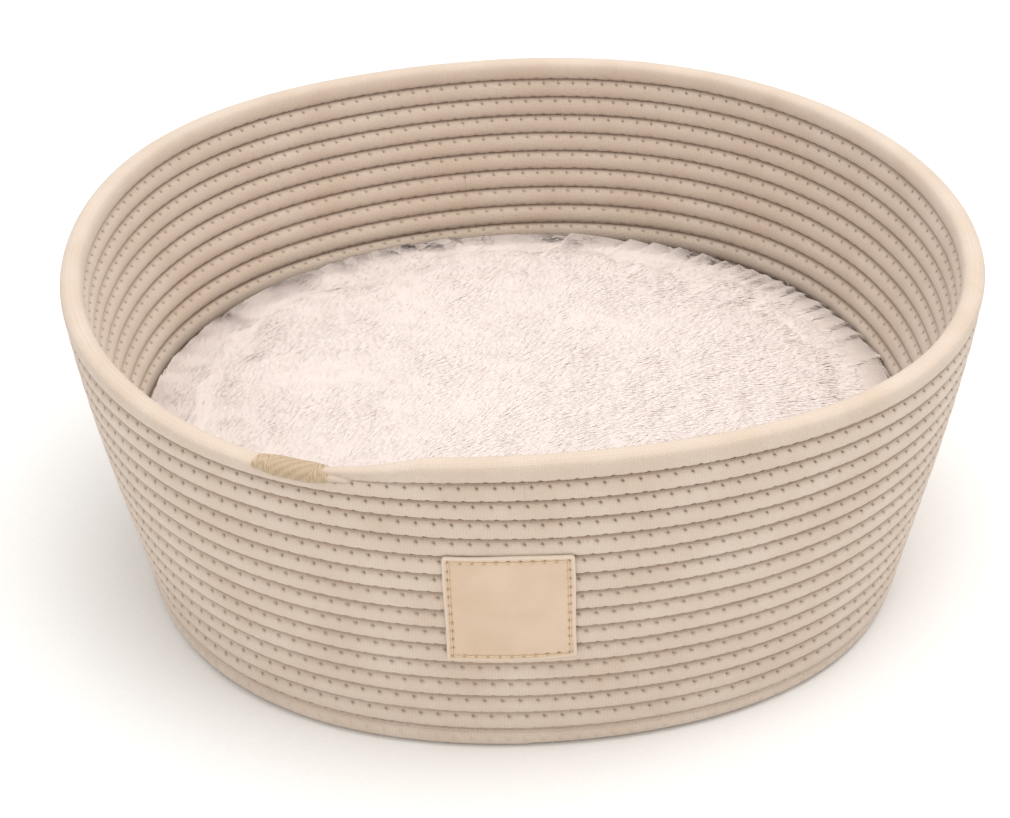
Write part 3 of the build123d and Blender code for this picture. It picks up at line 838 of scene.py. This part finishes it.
cover.data.vertices.foreach_set("co", (place * MM).ravel())
shape = bmesh.new()
shape.from_mesh(cover.data)
whole = shape.verts[:] + shape.edges[:] + shape.faces[:]
bmesh.ops.bisect_plane(
    shape, geom=whole, plane_co=(0, 0, (seam_z + 0.3) * MM), plane_no=(0, 0, 1), clear_inner=True
)
shape.to_mesh(cover.data)
shape.free()
cover.data.polygons.foreach_set("use_smooth", np.ones(len(cover.data.polygons), bool))
belongs(cover, "cushion", "plush", "cushion_plush_cover")

# %% [markdown]
# ## Pile
# Long plush pile lies over in the direction it was last stroked. Particle hair would render well, but it vanishes when
# the model is exported, so each tuft is a small bent blade of mesh: a broad foot and a pointed tip. Blades take soft
# normals from the cover, turned partly upwards, so that thousands of them read as one surface, and each one gets its
# own tone. More tufts stand on the top than on the hidden sides.

# %% Root the tufts
rng = np.random.default_rng(7)
cover.data.calc_loop_triangles()
verts = 1000 * np.array([v.co for v in cover.data.vertices])
vert_normals = np.array([v.normal for v in cover.data.vertices])
tris = np.array([t.vertices[:] for t in cover.data.loop_triangles])
p0, p1, p2 = verts[tris[:, 0]], verts[tris[:, 1]], verts[tris[:, 2]]
area = np.linalg.norm(np.cross(p1 - p0, p2 - p0), axis=1) / 2
height_share = np.clip(((p0 + p1 + p2)[:, 2] / 3 - BELLY_Z) / 14.0, 0.35, 1)
weight = area * height_share
TUFTS = 240000
chosen = rng.choice(len(tris), TUFTS, p=weight / weight.sum())
u, v = rng.random(TUFTS), rng.random(TUFTS)
flip = u + v > 1
u, v = np.where(flip, 1 - u, u), np.where(flip, 1 - v, v)
t = tris[chosen]
roots = verts[t[:, 0]] * (1 - u - v)[:, None] + verts[t[:, 1]] * u[:, None] + verts[t[:, 2]] * v[:, None]
shares = ((1 - u - v)[:, None], u[:, None], v[:, None])
normals = unit(sum(vert_normals[t[:, i]] * part for i, part in enumerate(shares)))
print("tufts:", TUFTS, "over", round(area.sum() / 1e4), "square cm")


# %% [markdown]
# The stroke direction swings across the cushion and is stirred by noise, which gives the short streaks that plush
# shows. Near the side the pile falls outwards over the edge. Tufts lie almost flat: the flatter they lie, the softer
# the shadows between them.

# %% Stroke direction and tuft shape
TUFT_LENGTH, TUFT_WIDTH, TUFT_LEAN = 7.0, 1.15, 82.5  # mm, mm and degrees from upright


def smooth_noise(x, y, size, seed):
    """Slow noise read off a coarse grid, which is much faster than asking for it point by point."""
    cells = np.arange(-240, 241, size / 4)
    values = np.array([[noise.noise(Vector((cx / size, cy / size, seed))) for cx in cells] for cy in cells])
    fx, fy = (x + 240) / (size / 4), (y + 240) / (size / 4)
    ix, iy = np.clip(fx.astype(int), 0, len(cells) - 2), np.clip(fy.astype(int), 0, len(cells) - 2)
    tx, ty = fx - ix, fy - iy
    low = values[iy, ix] * (1 - tx) + values[iy, ix + 1] * tx
    high = values[iy + 1, ix] * (1 - tx) + values[iy + 1, ix + 1] * tx
    return low * (1 - ty) + high * ty


x, y = roots[:, 0], roots[:, 1]
swing = np.clip((x - y * 0.8 + 60) / 220, 0, 1)
heading = np.radians(40 - 42 * swing)
from_middle = np.hypot(x, y)
over_edge = 0.5 * np.clip((from_middle - (cushion_r - 40)) / 40, 0, 1)
to_right = (1 - over_edge) * np.cos(heading) + over_edge * x / np.maximum(from_middle, 1)
to_back = (1 - over_edge) * np.sin(heading) + over_edge * y / np.maximum(from_middle, 1)
heading = np.arctan2(to_back, to_right)
heading += 0.7 * smooth_noise(x, y, 40.0, 1.0) + 0.6 * smooth_noise(x, y, 12.0, 2.0) + rng.normal(0, 0.07, TUFTS)
flow = np.stack([np.cos(heading), np.sin(heading), np.zeros(TUFTS)], -1)
flow = unit(flow - normals * np.sum(flow * normals, 1, keepdims=True))
length = TUFT_LENGTH * rng.uniform(0.75, 1.1, TUFTS) * (0.4 + 0.6 * height_share[chosen])
lean = TUFT_LEAN + 2.5 * smooth_noise(x, y, 9.0, 4.0) + rng.normal(0, 0.7, TUFTS)
first_lean, last_lean = np.radians(lean - 5), np.radians(np.clip(lean + 6, None, 88))
first = normals * np.cos(first_lean)[:, None] + flow * np.sin(first_lean)[:, None]
last = normals * np.cos(last_lean)[:, None] + flow * np.sin(last_lean)[:, None]
middle = roots + first * (0.5 * length)[:, None]
tips = middle + last * (0.5 * length)[:, None]


def keep_off_wall(points, gap):
    """Pulls points in where they would go into the basket's wall."""
    a, r = np.arctan2(points[:, 1], points[:, 0]), np.hypot(points[:, 0], points[:, 1])
    limit = wall_inside(a, points[:, 2]) - gap
    scale = np.minimum(1, limit / np.maximum(r, 1e-6))
    return np.stack([points[:, 0] * scale, points[:, 1] * scale, points[:, 2]], -1)


middle, tips = keep_off_wall(middle, 0.7), keep_off_wall(tips, 0.5)
across = unit(np.cross(flow, normals))
width = (TUFT_WIDTH * rng.uniform(0.7, 1.3, TUFTS))[:, None]
tone = 0.66 + 0.36 * smooth_noise(x, y, 7.0, 6.0) + rng.normal(0, 0.1, TUFTS)
tone = np.clip(tone, 0, 1)

# %% [markdown]
# Four meshes share the tufts, each a quarter of the cushion as seen from above, so that none is too heavy. A tuft has
# five points: two at its root, two at its bend and one at its tip.

# %% Build the pile
order = np.argsort(np.arctan2(roots[:, 1], roots[:, 0]))
for number, part in enumerate(np.array_split(order, 4), 1):
    n = len(part)
    blade = np.stack(
        [
            roots[part] - across[part] * width[part] * 0.35,
            roots[part] + across[part] * width[part] * 0.35,
            middle[part] + across[part] * width[part] * 0.5,
            middle[part] - across[part] * width[part] * 0.5,
            tips[part],
        ],
        1,
    )
    base = np.arange(n)[:, None] * 5
    quads = base + np.array([[0, 1, 2, 3]])
    points_of = base + np.array([[3, 2, 4]])
    # Painted shade and light along each tuft: its root is darker and its tip a little lighter than the tuft's own tone.
    shade = tone[part][:, None] + np.array([[-0.15, -0.15, 0.0, 0.0, 0.05]])
    pile = mesh_piece(f"plush_pile_{number}", blade, [quads, points_of], plush_pile, marks={"tone": shade.ravel()})
    soft_normals = unit(np.repeat(normals[part], 5, 0) + [0.0, 0.0, 0.9])
    pile.data.normals_split_custom_set_from_vertices(soft_normals)
    belongs(pile, "cushion", "plush")

# %% [markdown]
# ## Underside cloth
# The underside of the cover is a plain cotton weave, pulled over the pad's edge and sewn to the plush. A zip lets the
# pad out. The cloth is a round grid that is cut along four straight lines for the opening, and the edge of the opening
# is turned up to meet the zip's tape. The weave is drawn with two crossed waves, 1 mm apart, coarser than real shirting
# so that it shows.


# %% Woven cloth
def woven_material(name, light, dark, thread_mm, roughness, sheen):
    material, tree, shader = new_material(name, roughness=roughness, sheen=sheen)
    place = add_node(tree, "ShaderNodeTexCoord", out="Object")
    east = add_node(tree, "ShaderNodeSeparateXYZ", {0: place})
    per_metre = math.pi / (thread_mm * MM)
    warp = add_node(tree, MATH, {0: east, 1: per_metre}, operation="MULTIPLY")
    weft = add_node(tree, MATH, {0: east.node.outputs[1], 1: per_metre}, operation="MULTIPLY")
    over = add_node(tree, MATH, {0: warp}, operation="SINE")
    under = add_node(tree, MATH, {0: weft}, operation="SINE")
    slub = add_node(tree, NOISE, {"Vector": place, "Scale": 500.0, "Detail": 3.0})
    height = add_node(tree, MATH, {0: over, 1: under, 2: slub}, operation="MULTIPLY_ADD")
    bump = add_node(tree, "ShaderNodeBump", {"Strength": 0.5, "Distance": 0.0003, "Height": height})
    tree.links.new(bump, shader.inputs["Normal"])
    # Partly painted shade: the weave's low points are darker, and partly the slub tone of the yarn.
    tone = add_node(tree, RANGE, {0: height, 1: -0.6, 2: 1.4})
    colour = add_node(tree, MIX, {0: tone, 6: srgb(dark), 7: srgb(light)}, out=2, data_type="RGBA")
    tree.links.new(colour, shader.inputs["Base Color"])
    return material


underside_weave = woven_material("plain_weave_cotton", "#EFE6DC", "#CFC0B1", 1.0, 0.9, 0.2)
zip_weave = woven_material("woven_zip_tape", "#E9DFD3", "#C2B29F", 0.8, 0.8, 0.1)

# %% [markdown]
# The cloth could be one disc with a hole cut by a boolean, but a boolean leaves ragged triangles along the opening.
# Cutting a ring grid along four straight lines keeps its edge clean, so it can be turned up as a narrow hem. Where it
# meets the plush it has small gathers.

# %% Underside shape
tape_low, tape_high = (1000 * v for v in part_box("zip_tape"))
HEM_W = 8.0
CLOTH_GAP = 2.0  # between the cloth and the basket's wall
slot_low, slot_high = (tape_low.x + HEM_W, tape_low.y + HEM_W), (tape_high.x - HEM_W, tape_high.y - HEM_W)
cloth_turns = np.linspace(0, 2 * math.pi, 145)[:-1]
heel_start = cushion_r - HEEL_REACH
dip = math.acos((BELLY_Z - seam_z) / (BELLY_Z - pad_low))
heel_steps = np.linspace(0, dip, 10)
rings = [(r, pad_low) for r in np.linspace(4, heel_start, 34)[:-1]]
rings += [(heel_start + HEEL_REACH * math.sin(t), BELLY_Z - (BELLY_Z - pad_low) * math.cos(t)) for t in heel_steps]
ring_r, ring_z = np.array(rings).T
near_seam = np.clip((ring_z - pad_low) / (seam_z - pad_low), 0, 1)
gathers = 0.35 * np.sin(cloth_turns * 72)[None, :] * near_seam[:, None] ** 2
cloth_z = np.broadcast_to(ring_z[:, None], (len(rings), len(cloth_turns)))
cloth_r = ring_r[:, None] + gathers
room = np.minimum(1, (wall_inside(cloth_turns[None, :], cloth_z) - CLOTH_GAP) / np.maximum(cloth_r, 1))
cloth_r = cloth_r * room
cloth_points = np.stack([cloth_r * np.cos(cloth_turns), cloth_r * np.sin(cloth_turns), cloth_z], -1).reshape(-1, 3)
cloth_points = np.concatenate([cloth_points, [[0, 0, pad_low]]])
n = len(cloth_turns)
k = np.arange(n)
beside = (k + 1) % n
ring_faces = []
for first_point in range(0, (len(rings) - 1) * n, n):
    next_ring = first_point + n
    ring_faces.append(np.stack([first_point + k, next_ring + k, next_ring + beside, first_point + beside], -1))
hub = np.stack([np.full(n, len(cloth_points) - 1), k, beside], -1)
underside = mesh_piece("cushion_underside_cloth", cloth_points, [np.concatenate(ring_faces), hub], underside_weave)
shape = bmesh.new()
shape.from_mesh(underside.data)
for axis, value in ((0, slot_low[0]), (0, slot_high[0]), (1, slot_low[1]), (1, slot_high[1])):
    cut_co, cut_no = [0.0, 0.0, 0.0], [0.0, 0.0, 0.0]
    cut_co[axis], cut_no[axis] = value * MM, 1.0
    whole = shape.verts[:] + shape.edges[:] + shape.faces[:]
    bmesh.ops.bisect_plane(shape, geom=whole, plane_co=cut_co, plane_no=cut_no)
opening = [
    f
    for f in shape.faces
    if slot_low[0] * MM < f.calc_center_median().x < slot_high[0] * MM
    and slot_low[1] * MM < f.calc_center_median().y < slot_high[1] * MM
]
bmesh.ops.delete(shape, geom=opening, context="FACES")
edge_of_slot = [e for e in shape.edges if e.is_boundary and max(v.co.z for v in e.verts) < (pad_low + 0.5) * MM]
turned = bmesh.ops.extrude_edge_only(shape, edges=edge_of_slot)["geom"]
hem_verts = [v for v in turned if isinstance(v, bmesh.types.BMVert)]
bmesh.ops.translate(shape, verts=hem_verts, vec=(0, 0, (tape_low.z - pad_low) * MM))
shape.to_mesh(underside.data)
shape.free()
belongs(underside, "cushion", "underside_cloth", "cushion_underside")

# %% [markdown]
# Hems and seams are sewn with a running stitch. The thread is a tube again, and its line rises over the cloth and dives
# through it once a stitch. Two lines hold the hems beside the zip, and one runs round the cushion where plush and
# underside meet.


# %% Hem stitches and cover seam
def running_stitch(name, path, outward, stitch_mm, radius, material):
    """Thread that rises over the cloth and dives through it once for each stitch."""
    run = np.concatenate([[0], np.cumsum(np.linalg.norm(np.diff(path, axis=0), axis=1))])
    at = np.arange(0, run[-1], stitch_mm / 6)
    line = np.stack([np.interp(at, run, path[:, i]) for i in range(3)], -1)
    out = np.stack([np.interp(at, run, outward[:, i]) for i in range(3)], -1)
    line = line + out * (0.5 * np.abs(np.sin(math.pi * at / stitch_mm)) ** 0.6 - 0.3)[:, None]
    return thread_piece(name, line, out, radius, 6, material)


down = np.array([[0.0, 0.0, -1.0]])
for side, y in (("front", slot_low[1] - 3.0), ("back", slot_high[1] + 3.0)):
    path = np.array([[slot_low[0] - 3, y, pad_low], [slot_high[0] + 3, y, pad_low]])
    hem_line = running_stitch(f"hem_stitches_{side}", path, np.repeat(down, 2, 0), 3.0, 0.25, waxed_linen)
    belongs(hem_line, "cushion", "cushion_thread")
ring_turns = np.linspace(0, 2 * math.pi, 600)
seam_room = np.minimum(1, (wall_inside(ring_turns, seam_z) - CLOTH_GAP) / ring_r[-1])
join_r = (heel_start + HEEL_REACH * math.sin(dip)) * seam_room
join = np.stack([join_r * np.cos(ring_turns), join_r * np.sin(ring_turns), np.full(600, seam_z + 0.2)], -1)
join_out = unit(join - np.array([[0.0, 0.0, seam_z + 60.0]]))
cover_seam = running_stitch("cover_seam_stitches", join, join_out, 4.0, 0.45, waxed_linen)
belongs(cover_seam, "cushion", "cushion_thread", "cushion_seam_thread")

# %% [markdown]
# ## Zip
# A moulded nylon chain has a tooth every 2 mm on each tape, the two rows half a step apart. A tooth is a small block
# with a narrower neck. Drawing them all costs little. The slider and pull keep their measured shapes, because they fit
# the teeth, and get a nickel-plated finish.

# %% Teeth
tooth_low, tooth_high = (1000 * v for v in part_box("zip_teeth"))
zip_y, chain_z = (tooth_low.y + tooth_high.y) / 2, (tooth_low.z + tooth_high.z) / 2
TOOTH_STEP = 2.0
STOP = 2.0
nylon, nylon_tree, nylon_shader = new_material("moulded_nylon", roughness=0.4, ior=1.53)
nylon_place = add_node(nylon_tree, "ShaderNodeTexCoord", out="Object")
nylon_cloud = add_node(nylon_tree, NOISE, {"Vector": nylon_place, "Scale": 350.0})
nylon_shades = {0: nylon_cloud, 6: srgb("#DCCFBF"), 7: srgb("#EBE1D4")}
nylon_colour = add_node(nylon_tree, MIX, nylon_shades, out=2, data_type="RGBA")
nylon_tree.links.new(nylon_colour, nylon_shader.inputs["Base Color"])
tooth = []
for from_middle, half_x, half_z in ((2.45, 0.75, 0.55), (1.6, 0.5, 0.95), (0.78, 0.72, 0.95)):
    for x_side, z_side in ((-1, -1), (1, -1), (1, 1), (-1, 1)):
        tooth.append((x_side * half_x, from_middle, z_side * half_z))
tooth = np.array(tooth)
tooth_x = np.arange(tooth_low.x + STOP + 1, tooth_high.x - STOP - 1, TOOTH_STEP)
teeth_points = []
for side in (1, -1):
    spots = np.stack([tooth_x + (side > 0), np.full_like(tooth_x, zip_y), np.full_like(tooth_x, chain_z)], -1)
    teeth_points.append((tooth[None] * [1, side, 1] + spots[:, None]).reshape(-1, 3))
teeth_points = np.concatenate(teeth_points)
tooth_faces = [[0, 1, 2, 3], [11, 10, 9, 8]]
for ring in (0, 4):
    tooth_faces += [[ring + i, ring + 4 + i, ring + 4 + (i + 1) % 4, ring + (i + 1) % 4] for i in range(4)]
starts = np.arange(len(teeth_points) // 12)[:, None, None] * 12
teeth = mesh_piece("zip_chain_teeth", teeth_points, [(starts + np.array(tooth_faces)[None]).reshape(-1, 4)], nylon)
teeth.data.polygons.foreach_set("use_smooth", np.zeros(len(teeth.data.polygons), bool))
belongs(teeth, "cushion", "zip_teeth", "zip_teeth")
print("teeth:", 2 * len(tooth_x))

# %% [markdown]
# Slider and pull are die-cast zinc with a nickel plating. Metal gets its look from how rough it is: tumbling leaves
# fine uneven marks. Inside the cover, a liner of non-woven cloth holds loose polyester fibre. Both belong out of sight,
# so they keep their plain shapes and get tangled fibres from one stretched noise.


# %% Slider, liner and filling finishes
def nickel_plate():
    """Die-cast zinc under nickel: grey, fairly glossy, with fine tumbling marks."""
    material, tree, shader = new_material("nickel_plated_zinc", roughness=0.3, metallic=1.0)
    place = add_node(tree, "ShaderNodeTexCoord", out="Object")
    marks = add_node(tree, NOISE, {"Vector": place, "Scale": 1500.0, "Detail": 4.0})
    rough = add_node(tree, RANGE, {0: marks, 3: 0.22, 4: 0.42})
    tree.links.new(rough, shader.inputs["Roughness"])
    colour = add_node(tree, MIX, {0: marks, 6: srgb("#BDB8AE"), 7: srgb("#D6D2C9")}, out=2, data_type="RGBA")
    tree.links.new(colour, shader.inputs["Base Color"])
    return material


def fibre_material(name, light, dark, fibre_mm):
    """Tangled white fibres, as in non-woven cloth and stuffing."""
    material, tree, shader = new_material(name, roughness=0.95, sheen=0.3)
    place = add_node(tree, "ShaderNodeTexCoord", out="Object")
    swirl = {"Vector": place, "Scale": 1 / (fibre_mm * MM * 6), "Detail": 6.0, "Distortion": 2.5}
    fibres = add_node(tree, NOISE, swirl)
    bump = add_node(tree, "ShaderNodeBump", {"Strength": 0.5, "Distance": fibre_mm * MM, "Height": fibres})
    tree.links.new(bump, shader.inputs["Normal"])
    colour = add_node(tree, MIX, {0: fibres, 6: srgb(dark), 7: srgb(light)}, out=2, data_type="RGBA")
    tree.links.new(colour, shader.inputs["Base Color"])
    return material


finishes = {
    "zip_tape": zip_weave,
    "zip_slider": nickel_plate(),
    "pad_liner": fibre_material("non_woven_polypropylene", "#F6F5F2", "#DEDCD6", 0.4),
    "pad_filling": fibre_material("polyester_fibre_filling", "#FAFAF8", "#E4E3DF", 1.0),
}
finishes["zip_pull"] = finishes["zip_slider"]
for node, finish in finishes.items():
    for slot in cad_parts[node].material_slots:
        slot.material = finish
    print(node, "is now", finish.name)

# %% [markdown]
# ## Camera, floor and light
# A long lens from well back keeps the basket's ellipses gentle. The camera looks down at the front and is turned by
# less than two degrees about its own axis, as a hand-held one is.

# %% Camera
ELEVATION = math.radians(30.8)
DISTANCE = 2.01317
AIM = Vector((-0.00758, 0.0, 0.06786))
ROLL = math.radians(-1.78)
LENS_MM, SENSOR_MM = 143.9929, 36.0
back = Vector((0, -math.cos(ELEVATION), math.sin(ELEVATION)))
lens = bpy.data.cameras.new("camera")
lens.sensor_width = SENSOR_MM
lens.lens = LENS_MM
lens.clip_end = 20
camera = bpy.data.objects.new("camera", lens)
bpy.context.scene.collection.objects.link(camera)
camera.location = AIM + back * DISTANCE
camera.rotation_euler = (math.pi / 2 - ELEVATION, 0, 0)
camera.rotation_euler.rotate_axis("Z", ROLL)
bpy.context.scene.camera = camera

# %% [markdown]
# The floor is matte backdrop paper, pale and nearly even, with just enough grain to be a surface. It lies a fifth of a
# millimetre under the basket, so that the two never share a plane.

# %% Floor
paper, paper_tree, paper_shader = new_material("matte_backdrop_paper", roughness=0.9)
paper_place = add_node(paper_tree, "ShaderNodeTexCoord", out="Object")
paper_grain = add_node(paper_tree, NOISE, {"Vector": paper_place, "Scale": 400.0})
paper_tone = add_node(paper_tree, RANGE, {0: paper_grain, 1: 0.3, 2: 0.7})
paper_shades = {0: paper_tone, 6: srgb("#FAFAF9"), 7: srgb("#FDFDFC")}
paper_colour = add_node(paper_tree, MIX, paper_shades, out=2, data_type="RGBA")
paper_tree.links.new(paper_colour, paper_shader.inputs["Base Color"])
FLOOR_HALF, FLOOR_GAP = 6000.0, 0.2
sides = ((-1, -1), (1, -1), (1, 1), (-1, 1))
floor_corners = [[x_side * FLOOR_HALF, y_side * FLOOR_HALF, -FLOOR_GAP] for x_side, y_side in sides]
floor = mesh_piece("floor", floor_corners, [np.array([[0, 1, 2, 3]])], paper)

# %% [markdown]
# Two square lamps and a bright surround make soft studio light. The large key lamp hangs above, a little to the right,
# and gives the rim its bright top. The small one in front, low on the left, keeps the front wall from falling dark.


# %% Lights
def soft_light(name, place, aim, size, watts, colour):
    """A square area light that points at a place."""
    lamp = bpy.data.lights.new(name, "AREA")
    lamp.shape = "SQUARE"
    lamp.size = size
    lamp.energy = watts
    lamp.color = srgb(colour)[:3]
    light = bpy.data.objects.new(name, lamp)
    bpy.context.scene.collection.objects.link(light)
    light.location = place
    light.rotation_euler = (Vector(aim) - Vector(place)).to_track_quat("-Z", "Y").to_euler()
    return light


soft_light("key_light", (0.35, -0.1, 2.1), (0, 0, 0.05), 2.0, 33.0, "#FFFDFA")
soft_light("fill_light", (-1.2, -1.9, 1.2), (0, 0, 0.05), 1.8, 5.0, "#FFFEFD")
world = bpy.data.worlds.new("studio")
bpy.context.scene.world = world
world.use_nodes = True
world.node_tree.nodes["Background"].inputs[0].default_value = (1.0, 1.0, 1.0, 1.0)
world.node_tree.nodes["Background"].inputs[1].default_value = 0.78
bpy.context.scene.view_settings.view_transform = "Standard"
